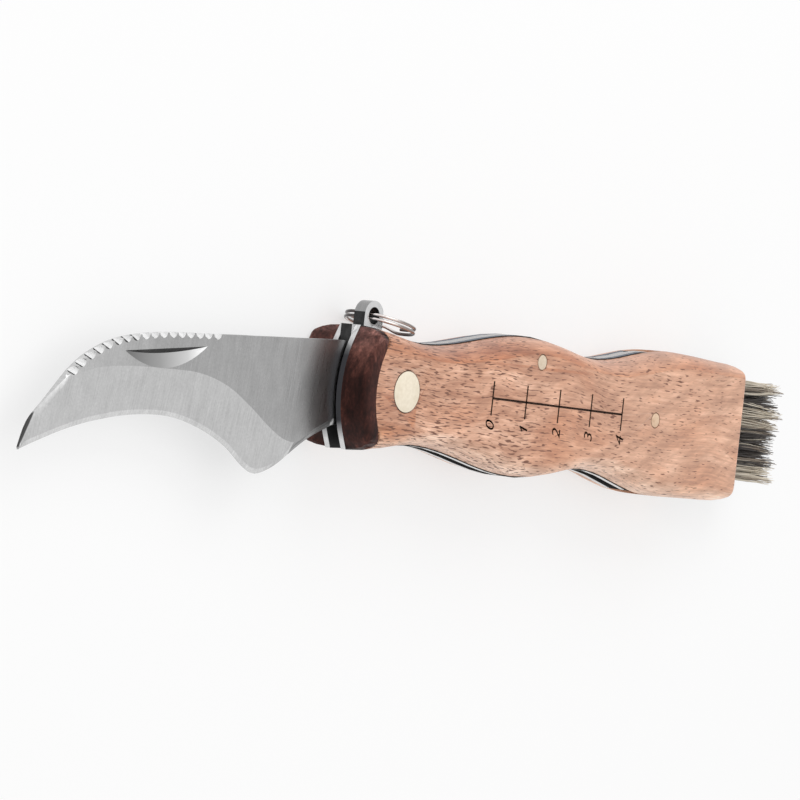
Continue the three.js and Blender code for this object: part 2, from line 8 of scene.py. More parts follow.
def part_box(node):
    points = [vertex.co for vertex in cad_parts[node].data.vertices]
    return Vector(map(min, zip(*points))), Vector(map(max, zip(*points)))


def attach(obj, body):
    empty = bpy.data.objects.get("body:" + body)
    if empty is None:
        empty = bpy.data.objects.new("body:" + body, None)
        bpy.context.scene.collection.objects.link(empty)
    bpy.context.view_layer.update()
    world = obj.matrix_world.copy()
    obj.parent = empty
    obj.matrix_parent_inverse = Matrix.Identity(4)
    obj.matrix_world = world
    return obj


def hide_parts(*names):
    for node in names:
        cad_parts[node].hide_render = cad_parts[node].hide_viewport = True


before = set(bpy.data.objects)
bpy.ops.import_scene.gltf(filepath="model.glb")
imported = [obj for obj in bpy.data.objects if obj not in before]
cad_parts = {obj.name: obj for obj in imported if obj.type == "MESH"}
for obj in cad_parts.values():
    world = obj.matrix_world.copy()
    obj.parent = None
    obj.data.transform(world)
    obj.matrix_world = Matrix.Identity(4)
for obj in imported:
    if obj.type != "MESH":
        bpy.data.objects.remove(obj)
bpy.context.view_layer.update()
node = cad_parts
mm = 0.001


# Handle scales. Two slabs of a light, pinkish-tan hardwood with open pores, sawn to a wavy
# outline, rounded over along back and belly, and pinned and glued to the steel liners.
# Each is a copy of the fitted solid, welded and smoothed.
def select_only(piece):
    bpy.ops.object.select_all(action="DESELECT")
    piece.hide_viewport = False
    piece.select_set(True)
    bpy.context.view_layer.objects.active = piece


def finished_copy(name, source, body="handle", angle=40, bevel=0, keep_flats=False):
    piece = node[source].copy()
    piece.data = node[source].data.copy()
    piece.name = name
    piece.parent = None
    for key in list(piece.keys()):
        if key.startswith("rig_"):
            del piece[key]
    bpy.context.scene.collection.objects.link(piece)
    select_only(piece)
    bpy.ops.object.mode_set(mode="EDIT")
    bpy.ops.mesh.select_all(action="SELECT")
    bpy.ops.mesh.remove_doubles(threshold=0.002 * mm)
    bpy.ops.object.mode_set(mode="OBJECT")
    if bevel:
        rim = piece.modifiers.new("rim", "BEVEL")
        rim.width = bevel
        rim.segments = 2
        rim.limit_method = "ANGLE"
        rim.angle_limit = math.radians(50)
        bpy.ops.object.modifier_apply(modifier="rim")
    bpy.ops.object.shade_smooth_by_angle(angle=math.radians(angle))
    if keep_flats:
        level = [abs(face.normal.z) > 0.99995 for face in piece.data.polygons]
        sides = {}
        for face in piece.data.polygons:
            for key in face.edge_keys:
                sides.setdefault(key, set()).add(level[face.index])
        for edge in piece.data.edges:
            if len(sides[edge.key]) == 2:
                edge.use_edge_sharp = True
    even = piece.modifiers.new("even", "WEIGHTED_NORMAL")
    even.keep_sharp = True
    even.weight = 80
    bpy.ops.object.modifier_apply(modifier="even")
    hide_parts(source)
    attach(piece, body)
    return piece


def coat(piece, *materials):
    piece.data.materials.clear()
    for material in materials:
        piece.data.materials.append(material)


def new_material(name, roughness, metallic=0):
    material = bpy.data.materials.new(name)
    material.use_nodes = True
    tree = material.node_tree
    shader = tree.nodes["Principled BSDF"]
    shader.inputs["Roughness"].default_value = roughness
    shader.inputs["Metallic"].default_value = metallic
    return material, tree, shader


def stretched(tree, scale, turn=0):
    # The object's own coordinates, turned about Z and then scaled
    place = tree.nodes.new("ShaderNodeTexCoord")
    turned = tree.nodes.new("ShaderNodeMapping")
    turned.inputs["Rotation"].default_value = (0, 0, turn)
    scaled = tree.nodes.new("ShaderNodeMapping")
    scaled.inputs["Scale"].default_value = scale
    tree.links.new(place.outputs["Object"], turned.inputs["Vector"])
    tree.links.new(turned.outputs["Vector"], scaled.inputs["Vector"])
    return scaled.outputs["Vector"]


def noise(tree, vector, detail=4, roughness=0.55):
    texture = tree.nodes.new("ShaderNodeTexNoise")
    texture.inputs["Scale"].default_value = 1
    texture.inputs["Detail"].default_value = detail
    texture.inputs["Roughness"].default_value = roughness
    tree.links.new(vector, texture.inputs["Vector"])
    return texture.outputs["Fac"]


def ramp(tree, value, stops):
    band = tree.nodes.new("ShaderNodeValToRGB")
    band.color_ramp.elements[0].position = stops[0][0]
    band.color_ramp.elements[0].color = (*stops[0][1], 1)
    band.color_ramp.elements[1].position = stops[-1][0]
    band.color_ramp.elements[1].color = (*stops[-1][1], 1)
    for place, colour in stops[1:-1]:
        band.color_ramp.elements.new(place).color = (*colour, 1)
    tree.links.new(value, band.inputs["Fac"])
    return band.outputs["Color"]


def times(tree, share, colour, factor):
    return mix(tree, share, colour, factor, "MULTIPLY")


def mix(tree, share, first, second, way="MIX"):
    blend = tree.nodes.new("ShaderNodeMix")
    blend.data_type = "RGBA"
    blend.blend_type = way
    for socket, value in (("Factor", share), ("A", first), ("B", second)):
        target = [s for s in blend.inputs if s.name == socket and s.enabled][0]
        if isinstance(value, (int, float, tuple)):
            target.default_value = value if isinstance(value, (int, float)) else (*value, 1)
        else:
            tree.links.new(value, target)
    return [s for s in blend.outputs if s.enabled][0]


def bump(tree, shader, height, strength, distance):
    relief = tree.nodes.new("ShaderNodeBump")
    relief.inputs["Strength"].default_value = strength
    relief.inputs["Distance"].default_value = distance
    tree.links.new(height, relief.inputs["Height"])
    tree.links.new(relief.outputs["Normal"], shader.inputs["Normal"])


def grey(value):
    return (value, value, value)


def bent_grain(tree, scale, bend):
    # The grain wanders a little, so a slow noise shifts the coordinate that crosses it
    slow = noise(tree, stretched(tree, (28, 40, 40)), detail=2)
    place = tree.nodes.new("ShaderNodeTexCoord")
    shift = tree.nodes.new("ShaderNodeCombineXYZ")
    amount = tree.nodes.new("ShaderNodeMath")
    amount.operation = "MULTIPLY_ADD"
    amount.inputs[1].default_value = bend
    amount.inputs[2].default_value = -bend / 2
    tree.links.new(slow, amount.inputs[0])
    tree.links.new(amount.outputs[0], shift.inputs["Y"])
    total = tree.nodes.new("ShaderNodeVectorMath")
    total.operation = "ADD"
    tree.links.new(place.outputs["Object"], total.inputs[0])
    tree.links.new(shift.outputs[0], total.inputs[1])
    mapping = tree.nodes.new("ShaderNodeMapping")
    mapping.inputs["Scale"].default_value = scale
    tree.links.new(total.outputs[0], mapping.inputs["Vector"])
    return mapping.outputs["Vector"]


def along_x(tree, start, stop, first, last):
    # Runs from first to last between two places along the handle, level beyond them
    place = tree.nodes.new("ShaderNodeTexCoord")
    parts = tree.nodes.new("ShaderNodeSeparateXYZ")
    span = tree.nodes.new("ShaderNodeMapRange")
    span.inputs["From Min"].default_value = start
    span.inputs["From Max"].default_value = stop
    span.inputs["To Min"].default_value = first
    span.inputs["To Max"].default_value = last
    tree.links.new(place.outputs["Object"], parts.inputs[0])
    tree.links.new(parts.outputs["X"], span.inputs["Value"])
    return span.outputs["Result"]


def facing(tree, axis):
    # 0 on faces that look down the named axis, 1 on faces that look up it
    place = tree.nodes.new("ShaderNodeTexCoord")
    parts = tree.nodes.new("ShaderNodeSeparateXYZ")
    span = tree.nodes.new("ShaderNodeMapRange")
    span.inputs["From Min"].default_value = -1
    tree.links.new(place.outputs["Normal"], parts.inputs[0])
    tree.links.new(parts.outputs[axis], span.inputs["Value"])
    return span.outputs["Result"]


def add(tree, first, second, share=1):
    # first + share * second
    total = tree.nodes.new("ShaderNodeMath")
    total.operation = "MULTIPLY_ADD"
    total.inputs[1].default_value = share
    tree.links.new(second, total.inputs[0])
    tree.links.new(first, total.inputs[2])
    return total.outputs[0]


def light_wood_material():
    material, tree, shader = new_material("waxed_light_wood", 0.56)
    tone = noise(tree, bent_grain(tree, (30, 200, 200), 0.008), detail=7, roughness=0.66)
    base = ramp(tree, tone, [
        (0.30, (0.42, 0.202, 0.124)),
        (0.43, (0.54, 0.297, 0.192)),
        (0.55, (0.64, 0.382, 0.263)),
        (0.70, (0.79, 0.530, 0.395)),
    ])
    fibre = noise(tree, bent_grain(tree, (170, 2600, 2600), 0.005), detail=4, roughness=0.7)
    fibres = ramp(tree, fibre, [(0.34, (0.68, 0.56, 0.49)), (0.66, grey(1.20))])
    base = times(tree, 0.8, base, fibres)
    streak = noise(tree, bent_grain(tree, (90, 620, 620), 0.006), detail=3, roughness=0.6)
    streaks = ramp(tree, streak, [(0.36, (0.80, 0.69, 0.62)), (0.60, grey(1.12))])
    base = times(tree, 0.8, base, streaks)
    patch = noise(tree, bent_grain(tree, (38, 120, 120), 0.03), detail=4)
    amber = ramp(tree, patch, [(0.46, grey(1)), (0.66, (0.90, 0.70, 0.54))])
    base = times(tree, 0.85, base, amber)
    # Painted sheen: pale where the belly's rounding turns down. Amber where the back's rounding
    # starts
    belly_sheen_back_amber = ramp(tree, facing(tree, "Y"), [
        (0.10, (1.50, 1.85, 2.10)),
        (0.32, (1.14, 1.24, 1.32)),
        (0.46, (0.98, 0.95, 0.93)),
        (0.52, grey(1)),
        (0.62, (0.84, 0.62, 0.45)),
        (0.84, (0.86, 0.72, 0.64)),
    ])
    base = times(tree, 0.9, base, belly_sheen_back_amber)
    # Open pores, crowded in places and fewer towards the butt
    dashes = noise(tree, bent_grain(tree, (480, 3250, 3250), 0.005), detail=1, roughness=0.4)
    crowd = noise(tree, stretched(tree, (55, 110, 110)), detail=2)
    thinning = along_x(tree, 15 * mm, 80 * mm, 0.025, -0.065)
    crowded = add(tree, add(tree, dashes, crowd, 0.22), thinning)
    pores = ramp(tree, crowded, [(0.688, grey(0)), (0.762, grey(1))])
    # Slanting bands of curled grain, stronger towards the butt
    curl = noise(tree, stretched(tree, (420, 90, 90), 1.1), detail=3, roughness=0.6)
    curls = ramp(tree, curl, [(0.38, (0.82, 0.76, 0.72)), (0.60, grey(1.14))])
    base = times(tree, along_x(tree, 45 * mm, 75 * mm, 0.65, 1), base, curls)
    paler = mix(tree, along_x(tree, 25 * mm, 75 * mm, 0, 0.2), base, (0.84, 0.57, 0.41))
    colour = mix(tree, pores, paler, (0.18, 0.070, 0.038))
    tree.links.new(colour, shader.inputs["Base Color"])
    shade = ramp(tree, pores, [(0, grey(0.54)), (1, grey(0.8))])
    tree.links.new(shade, shader.inputs["Roughness"])
    depth = ramp(tree, pores, [(0, grey(1)), (1, grey(0))])
    bump(tree, shader, depth, 0.35, 0.08 * mm)
    shader.inputs["Coat Weight"].default_value = 0.4
    shader.inputs["Coat Roughness"].default_value = 0.32
    return material


light_wood = light_wood_material()
for side in ("near", "far"):
    scale = finished_copy(f"{side}_wood_scale", f"{side}_scale")
    coat(scale, light_wood)


# Dark front pieces. A dark red-brown hardwood crescent on each side, glued against the
# scale's rounded end; the copy's joint face is brought up to the scale to close the glue line.
joint_x = 6.3 * mm
joint_y = -0.17 * mm
joint_radius = 14.5 * mm
joint_gap = 0.3 * mm


def close_joint(piece):
    for vertex in piece.data.vertices:
        arm = Vector((vertex.co.x - joint_x, vertex.co.y - joint_y))
        if abs(arm.length - joint_radius - joint_gap) < 0.1 * joint_gap:
            arm.length = joint_radius + 0.1 * joint_gap
            vertex.co.x = joint_x + arm.x
            vertex.co.y = joint_y + arm.y


def dark_wood_material():
    material, tree, shader = new_material("waxed_dark_wood", 0.55)
    tone = noise(tree, stretched(tree, (420, 80, 220)), detail=7, roughness=0.7)
    base = ramp(tree, tone, [
        (0.34, (0.014, 0.004, 0.003)),
        (0.50, (0.052, 0.015, 0.011)),
        (0.66, (0.150, 0.050, 0.036)),
    ])
    fibre = noise(tree, stretched(tree, (2600, 240, 1400)), detail=3)
    base = times(tree, 0.7, base, ramp(tree, fibre, [(0.35, grey(0.45)), (0.65, grey(1.15))]))
    speck = noise(tree, stretched(tree, (2200, 1300, 2200)), detail=3)
    base = times(tree, 0.6, base, ramp(tree, speck, [(0.35, grey(0.45)), (0.65, grey(1.2))]))
    # Painted highlight: faces looking up towards the back are made paler and pinker
    painted_back_highlight = ramp(tree, facing(tree, "Y"), [
        (0.53, grey(1)),
        (0.66, (1.6, 1.8, 1.9)),
        (0.85, (3.6, 5.2, 6.0)),
    ])
    base = times(tree, 1, base, painted_back_highlight)
    tree.links.new(base, shader.inputs["Base Color"])
    shader.inputs["Specular IOR Level"].default_value = 0.18
    bump(tree, shader, fibre, 0.15, 0.05 * mm)
    return material


dark_wood = dark_wood_material()
for side in ("near", "far"):
    bolster = finished_copy(f"{side}_dark_wood", f"{side}_bolster")
    close_joint(bolster)
    coat(bolster, dark_wood)


# Liners. Two sheets of stainless steel, stamped to the handle's outline and sandwiched
# between wood and blade slot; only their polished edges show.
def bright_steel_material(name, colour, roughness, scale):
    material, tree, shader = new_material(name, roughness, 1)
    fine = noise(tree, stretched(tree, scale), detail=3)
    tree.links.new(
        ramp(tree, fine, [(0.3, grey(colour * 0.88)), (0.7, grey(colour))]),
        shader.inputs["Base Color"],
    )
    tree.links.new(
        ramp(tree, fine, [(0.3, grey(roughness * 1.25)), (0.7, grey(roughness * 0.8))]),
        shader.inputs["Roughness"],
    )
    return material


def liner_edge_material():
    # Polished, with painted shade darkening the front ends
    material, tree, shader = new_material("polished_liner_edge", 0.24, 1)
    fine = noise(tree, stretched(tree, (90, 900, 2400)), detail=3)
    bright = ramp(tree, fine, [(0.3, grey(0.62)), (0.7, grey(0.74))])
    # Painted shade: faces looking up the back are painted darker and bluer, in their colour and
    # in the tint of their reflections
    painted_back_shade = ramp(tree, facing(tree, "Y"), [(0.80, grey(1)), (0.93, (0.46, 0.49, 0.53))])
    bright = times(tree, 1, bright, painted_back_shade)
    painted_back_reflection_tint = ramp(tree, facing(tree, "Y"), [(0.3, grey(1)), (0.7, (0.34, 0.37, 0.42))])
    tree.links.new(painted_back_reflection_tint, shader.inputs["Specular Tint"])
    painted_front_shade = along_x(tree, -9.3 * mm, -8.0 * mm, 0, 1)
    tree.links.new(mix(tree, painted_front_shade, (0.10, 0.10, 0.11), bright), shader.inputs["Base Color"])
    tree.links.new(
        ramp(tree, painted_front_shade, [(0, grey(0.5)), (1, grey(0.22))]), shader.inputs["Roughness"],
    )
    return material


liner_steel = liner_edge_material()
# Painted shade: a near-black steel for the faces that look into the dark slot
slot_shade_steel = bright_steel_material("near_black_slot_shade", 0.06, 0.6, (90, 900, 900))
sink_x = (78.5 * mm, 81 * mm)
sink_depth = 0.6 * mm


def sink_rear(piece):
    # Towards the butt the sanded wood covers the steel's edges
    for vertex in piece.data.vertices:
        share = min(max((vertex.co.x - sink_x[0]) / (sink_x[1] - sink_x[0]), 0), 1)
        vertex.co.y -= math.copysign(sink_depth * share, vertex.co.y)


for side in ("near", "far"):
    liner = finished_copy(f"{side}_steel_liner", f"{side}_liner", bevel=0.06 * mm)
    sink_rear(liner)
    coat(liner, liner_steel, slot_shade_steel)
    # Painted shade: the level faces take the near-black steel
    for face in liner.data.polygons:
        face.material_index = 1 if abs(face.normal.z) > 0.95 else 0


# Back spring. A spring-steel bar between the liners, held by the two small pins, that
# presses on the blade's tang; its front end carries the eye for the key ring.
# Painted shade and highlight: one steel in two tones, darker for the spring's back and brighter
# for the eye's level faces
spring_steel = bright_steel_material("polished_spring_steel", 0.34, 0.24, (60, 60, 3200))
eye_steel = bright_steel_material("polished_eye_steel", 0.64, 0.24, (900, 900, 900))
spring = finished_copy("steel_back_spring", "back_spring", bevel=0.1 * mm)
sink_rear(spring)
coat(spring, spring_steel, slot_shade_steel, eye_steel)
eye_line = 12.4 * mm
for face in spring.data.polygons:
    # Painted shade: the strip's front, up to the eye, and the faces looking down into the slot
    # take the near-black steel
    shaded = face.normal.x < -0.45 and face.center.y < eye_line
    if shaded or face.normal.y < -0.3:
        face.material_index = 1
    elif abs(face.normal.z) > 0.95:
        face.material_index = 2


# Blade. Hollow-hooked stainless blade, stamped and ground: a brushed flat side above the
# grind line, a satin bevel below it, a scalloped scraping back and a nail nick.
point_low = Vector((-83.2 * mm, -15.7 * mm, 0))
point_high = Vector((-79.8 * mm, -8.2 * mm, 0))


def point_shadow(tree):
    # 1 in the narrow crescent along the back of the point, 0 elsewhere
    along = (point_high - point_low).normalized()
    outward = Vector((-along.y, along.x, 0))
    start = outward.dot(point_low)
    place = tree.nodes.new("ShaderNodeTexCoord")
    reach = tree.nodes.new("ShaderNodeVectorMath")
    reach.operation = "DOT_PRODUCT"
    reach.inputs[1].default_value = outward
    span = tree.nodes.new("ShaderNodeMapRange")
    span.inputs["From Min"].default_value = start
    span.inputs["From Max"].default_value = start + 0.15 * mm
    tree.links.new(place.outputs["Object"], reach.inputs[0])
    tree.links.new(reach.outputs["Value"], span.inputs["Value"])
    return span.outputs["Result"]


def ground_steel_material(name, low, high, roughness, line_depth, point_highlight_gain=1):
    material, tree, shader = new_material(name, roughness, 1)
    lines = noise(tree, stretched(tree, (5200, 130, 130), 0.10), detail=3, roughness=0.6)
    cloud = noise(tree, stretched(tree, (420, 210, 210)), detail=5, roughness=0.6)
    speckle = noise(tree, stretched(tree, (2600, 2600, 2600)), detail=2)
    colour = ramp(tree, cloud, [(0.30, grey(low)), (0.70, grey(high))])
    drawn = ramp(tree, lines, [(0.3, grey(0.62)), (0.7, grey(1.22))])
    colour = times(tree, 0.30, colour, drawn)
    grained = ramp(tree, speckle, [(0.3, grey(0.70)), (0.7, grey(1.18))])
    colour = times(tree, 0.25, colour, grained)
    # Painted highlight: a gain above 1 paints the steel brighter towards the point
    colour = times(tree, 1, colour, along_x(tree, -74 * mm, -52 * mm, point_highlight_gain, 1))
    colour = mix(tree, point_shadow(tree), colour, grey(0.07))
    tree.links.new(colour, shader.inputs["Base Color"])
    tree.links.new(
        ramp(tree, lines, [(0.3, grey(roughness * 1.2)), (0.7, grey(roughness * 0.85))]),
        shader.inputs["Roughness"],
    )
    bump(tree, shader, lines, line_depth, 0.02 * mm)
    return material


def nick_floor_material():
    # Painted shading: the floor runs from dark at its end towards the point to bright at its end
    # towards the handle
    material, tree, shader = new_material("nick_floor", 0.32, 1)
    tree.links.new(
        ramp(tree, along_x(tree, -62 * mm, -44 * mm, 0, 1), [
            (0, grey(0.17)),
            (0.45, grey(0.34)),
            (0.8, grey(0.58)),
            (1, grey(0.92)),
        ]),
        shader.inputs["Base Color"],
    )
    return material


blade = finished_copy("steel_blade", "blade", body="blade", angle=22, keep_flats=True)
blade_steels = {
    "flat": ground_steel_material("brushed_blade_flat", 0.35, 0.40, 0.30, 0.10, 1.35),
    "bevel": ground_steel_material("ground_blade_bevel", 0.49, 0.55, 0.32, 0.08),
    "rim": ground_steel_material("ground_blade_rim", 0.57, 0.70, 0.22, 0.02),
    "nick_floor": nick_floor_material(),
    # Painted shade: the nick's wall and the steep wall of each tooth cut are near black
    "shaded_cut_wall": ground_steel_material("shaded_cut_wall", 0.03, 0.06, 0.45, 0.02),
    # Painted shade: darker steel near the handle and along the back before the teeth
    "ricasso": ground_steel_material("shaded_ricasso_steel", 0.29, 0.36, 0.36, 0.06),
    # Painted highlight: the teeth cuts' other faces are near white
    "tooth": ground_steel_material("cut_tooth_highlight", 0.80, 0.92, 0.34, 0.02),
    # Painted shade: the downward faces at the choil are darker still
    "choil": ground_steel_material("shaded_choil_edge", 0.17, 0.23, 0.36, 0.02),
}
blade_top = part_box("blade")[1].z
nick_x = (-63 * mm, -43 * mm)
nick_y = (-3.2 * mm, 3.6 * mm)
ricasso_x = -20 * mm
swedge_x = (-79 * mm, -73 * mm)
teeth_x = (-78 * mm, -39.6 * mm)
level_face = 0.99995


def steel_of(face):
    across = abs(face.normal.z)
    centre = face.center
    up = face.normal.y
    in_nick = nick_x[0] < centre.x < nick_x[1] and nick_y[0] < centre.y < nick_y[1]
    if across > level_face:
        return "flat"
    if in_nick and up > 0.1 and across > 0.9:
        return "nick_floor"
    if in_nick and up < -0.3 and centre.z < blade_top - 0.02 * mm:
        return "shaded_cut_wall"
    # Painted shade near the handle: the choil's downward faces, then the rest near the handle and
    # the back before the teeth
    if centre.x > ricasso_x and up < -0.3 and across > 0.1:
        return "choil"
    if centre.x > ricasso_x or (centre.x > teeth_x[1] and up > 0.5):
        return "ricasso"
    if teeth_x[0] < centre.x < teeth_x[1] and 0.1 < across < 0.9 and up > 0:
        # The back curves down to the point, and each cut's wall, painted dark as shade, turns
        # with it; the cut's other faces are painted bright
        curve = (teeth_x[1] - centre.x) / (teeth_x[1] - teeth_x[0])
        wall = math.atan2(up, face.normal.x) < 1.46 + 0.6 * curve
        return "shaded_cut_wall" if wall else "tooth"
    if swedge_x[0] < centre.x < swedge_x[1] and up > 0.03 and across > 0.8:
        return "flat"
    if up < 0 and across < 0.987:
        return "rim"
    return "bevel" if across > 0.9 else "rim"


coat(blade, *blade_steels.values())
for face in blade.data.polygons:
    face.material_index = list(blade_steels).index(steel_of(face))


# Pins, washers and spacer. Plain steel pins run through the stack, thin brass washers keep
# the blade off the liners, and a wooden spacer closes the handle round the brush.
def speckled_material(name, roughness, scale, detail, stops, metallic=0):
    material, tree, shader = new_material(name, roughness, metallic)
    speckle = noise(tree, stretched(tree, scale), detail=detail)
    tree.links.new(ramp(tree, speckle, stops), shader.inputs["Base Color"])
    return material, shader


pin_steel = bright_steel_material("pin_steel", 0.66, 0.30, (900, 900, 900))
brass = speckled_material("washer_brass", 0.32, (700, 700, 700), 3, [
    (0.3, (0.46, 0.31, 0.11)),
    (0.7, (0.60, 0.43, 0.18)),
], metallic=1)[0]
for name in ("pivot_pin", "spring_pin", "rear_pin"):
    coat(node[name], pin_steel)
for name in ("near_washer", "far_washer"):
    coat(node[name], brass)
for name in ("butt_spacer", "brush_block"):
    coat(node[name], light_wood)


# Cream caps. Flush discs of a bone-coloured plastic hide the ends of the pivot and of the
# two small pins; each is turned, pushed into its seat and sanded level with the wood.
def cream_material():
    material, tree, shader = new_material("cream_cap", 0.5)
    speckle = noise(tree, stretched(tree, (1500, 1500, 1500)), detail=3)
    cloud = noise(tree, stretched(tree, (220, 220, 220)), detail=2)
    colour = ramp(tree, speckle, [(0.3, (0.74, 0.65, 0.50)), (0.7, (0.86, 0.77, 0.62))])
    clouds = ramp(tree, cloud, [(0.4, (0.70, 0.60, 0.44)), (0.6, (0.88, 0.80, 0.66))])
    colour = mix(tree, 0.3, colour, clouds)
    tree.links.new(colour, shader.inputs["Base Color"])
    return material


def plug_material(name, dark, light):
    return speckled_material(name, 0.55, (1300, 1300, 900), 4, [(0.3, dark), (0.7, light)])[0]


cream = cream_material()
pale_plug = plug_material("sanded_pale_plug", (0.61, 0.49, 0.36), (0.73, 0.61, 0.47))
tan_plug = plug_material("sanded_tan_plug", (0.61, 0.41, 0.27), (0.77, 0.57, 0.40))
cap_line = plug_material("pivot_cap_glue_line", (0.06, 0.030, 0.018), (0.16, 0.085, 0.050))
plug_line = plug_material("plug_glue_line", (0.26, 0.15, 0.09), (0.40, 0.26, 0.17))
cap_edge = 0.12 * mm


def turned_cap(name, source, finish, line):
    low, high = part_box(source)
    bpy.ops.object.select_all(action="DESELECT")
    bpy.ops.mesh.primitive_cylinder_add(
        vertices=64, radius=(high.x - low.x) / 2, depth=high.z - low.z, location=(low + high) / 2,
    )
    cap = bpy.context.object
    cap.name = name
    bpy.ops.object.transform_apply(location=True, rotation=True, scale=True)
    rim = cap.modifiers.new("rim", "BEVEL")
    rim.width = cap_edge
    rim.segments = 2
    rim.limit_method = "ANGLE"
    bpy.ops.object.modifier_apply(modifier="rim")
    bpy.ops.object.shade_smooth_by_angle(angle=math.radians(30))
    coat(cap, finish, line)
    for face in cap.data.polygons:
        face.material_index = 0 if abs(face.normal.z) > 0.99 else 1
    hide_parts(source)
    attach(cap, "handle")


for side in ("near", "far"):
    turned_cap(f"cream_{side}_pivot_cap", f"{side}_pivot_cap", cream, cap_line)
    turned_cap(f"{side}_sanded_spring_plug", f"{side}_spring_plug", pale_plug, plug_line)
    turned_cap(f"{side}_sanded_rear_plug", f"{side}_rear_plug", tan_plug, plug_line)


# Ruler. Four centimetres burnt into the near scale: a long line, five ticks, and the plain
# numbers 0 to 4 turned to be read from the butt's side, blackened by the burning.
ruler_x = 24.3 * mm
ruler_y = 0.74 * mm
tick_count = 5
tick_step = 10 * mm
tick_half = 2.95 * mm
line_width = 0.38 * mm
ink_height = 0.015 * mm
number_size = 3.6 * mm
number_drop = 4.85 * mm
face_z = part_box("near_scale")[1].z

ink, ink_shader = speckled_material("burnt_line", 0.9, (1800, 1800, 1800), 3, [
    (0.35, (0.012, 0.007, 0.005)),
    (0.75, (0.050, 0.028, 0.020)),
])
ink_shader.inputs["Specular IOR Level"].default_value = 0.1


def ink_line(name, x0, x1, y0, y1, turn=0):
    bpy.ops.object.select_all(action="DESELECT")
    bpy.ops.mesh.primitive_cube_add(
        size=1,
        location=((x0 + x1) / 2, (y0 + y1) / 2, face_z),
        scale=(x1 - x0, y1 - y0, 2 * ink_height),
        rotation=(0, 0, turn),
    )
    line = bpy.context.object
    line.name = name
    bpy.ops.object.transform_apply(location=True, rotation=True, scale=True)
    soft = line.modifiers.new("soft", "BEVEL")
    soft.width = ink_height / 2
    bpy.ops.object.modifier_apply(modifier="soft")
    coat(line, ink)
    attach(line, "handle")


ink_line(
    "ruler_line", ruler_x, ruler_x + (tick_count - 1) * tick_step,
    ruler_y - line_width / 2, ruler_y + line_width / 2,
)
for count in range(tick_count):
    tick_x = ruler_x + count * tick_step
    ink_line(
        f"ruler_tick_{count}", tick_x - line_width / 2, tick_x + line_width / 2,
        ruler_y - tick_half, ruler_y + tick_half,
    )
    bpy.ops.object.select_all(action="DESELECT")
    bpy.ops.object.text_add(
        location=(tick_x + 0.1 * mm, ruler_y - number_drop, face_z - ink_height),
        rotation=(0, 0, math.pi / 2),
    )
    number = bpy.context.object
    number.name = f"ruler_number_{count}"
    number.data.body = str(count)
    number.data.size = number_size
    number.data.shear = 0.25
    number.data.align_x = "CENTER"
    number.data.align_y = "CENTER"
    number.data.extrude = ink_height
    bpy.ops.object.convert(target="MESH")
    bpy.ops.object.transform_apply(location=True, rotation=True, scale=True)
    coat(number, ink)
    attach(number, "handle")

# The hand-drawn 1 has a flag that the typeface's 1 lacks
ink_line("ruler_number_flag", 33.0 * mm, 34.1 * mm, -4.03 * mm, -3.75 * mm, math.radians(-47))


# Key ring. A split ring of sprung steel wire, two turns wound side by side, passed through
# the eye on the back spring and left to hang.
eye = Vector((-2.3, 12.0, 8.0)) * mm
ring_radius = 5.9 * mm
ring_wire = 0.56 * mm
ring_turn = 0.76 * mm
ring_lean = Vector((0.94, -0.15, -0.3)).normalized()
ring_across = Vector((0.6, -0.14, 0.79))
ring_across = (ring_across - ring_across.dot(ring_lean) * ring_lean).normalized()
ring_normal = ring_lean.cross(ring_across)
ring_centre = eye + ring_lean * ring_radius
ring_jog = 0.3
ring_steps = 192

wire = bpy.data.curves.new("split_ring_wire", "CURVE")
wire.dimensions = "3D"
wire.bevel_depth = ring_wire / 2
wire.bevel_resolution = 3
wire.use_fill_caps = True
spline = wire.splines.new("POLY")
spline.points.add(ring_steps)
for i in range(ring_steps + 1):
    # Two turns, the wire stepping across from one to the other where they meet
    angle = ring_jog + (4 * math.pi - 2 * ring_jog) * i / ring_steps
    past = max(-1, min(1, (angle - 2 * math.pi) / ring_jog))
    place = (
        ring_centre
        + ring_lean * ring_radius * math.cos(angle)
        + ring_across * ring_radius * math.sin(angle)
        + ring_normal * ring_turn / 2 * math.sin(past * math.pi / 2)
    )
    spline.points[i].co = (*place, 1)
ring = bpy.data.objects.new("steel_split_ring", wire)
bpy.context.scene.collection.objects.link(ring)
select_only(ring)
bpy.ops.object.convert(target="MESH")
bpy.ops.object.shade_smooth_by_angle(angle=math.radians(45))
ring_steel, ring_tree, ring_shader = new_material("sprung_ring_steel", 0.16, 1)
# Painted highlight and shade: each wire is painted dark where it faces down, bright where it
# turns halfway up, and duller where it faces straight up
ring_tree.links.new(
    ramp(ring_tree, facing(ring_tree, "Z"), [
        (0.34, (0.07, 0.06, 0.06)),
        (0.58, (0.20, 0.17, 0.16)),
        (0.72, (0.82, 0.76, 0.74)),
        (0.90, (0.55, 0.51, 0.49)),
        (0.98, (0.25, 0.22, 0.21)),
    ]),
    ring_shader.inputs["Base Color"],
)
coat(ring, ring_steel)
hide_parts("split_ring")
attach(ring, "key_ring")


# Brush. Natural bristle in off-white, grey-brown and dark hairs, cut uneven, its roots glued
# into the block in the butt; every hair tapers and bows a little away from its neighbours.
bristle_low, bristle_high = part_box("bristles")
block_low, block_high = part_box("brush_block")
root_x = bristle_low.x
root_y = (block_low.y + block_high.y) / 2
root_z = (block_low.z + block_high.z) / 2
hair_radius = 0.12 * mm
half_y = (block_high.y - block_low.y) / 2 - hair_radius
half_z = (block_high.z - block_low.z) / 2 - hair_radius
hair_length = bristle_high.x - root_x
hair_rings = 7
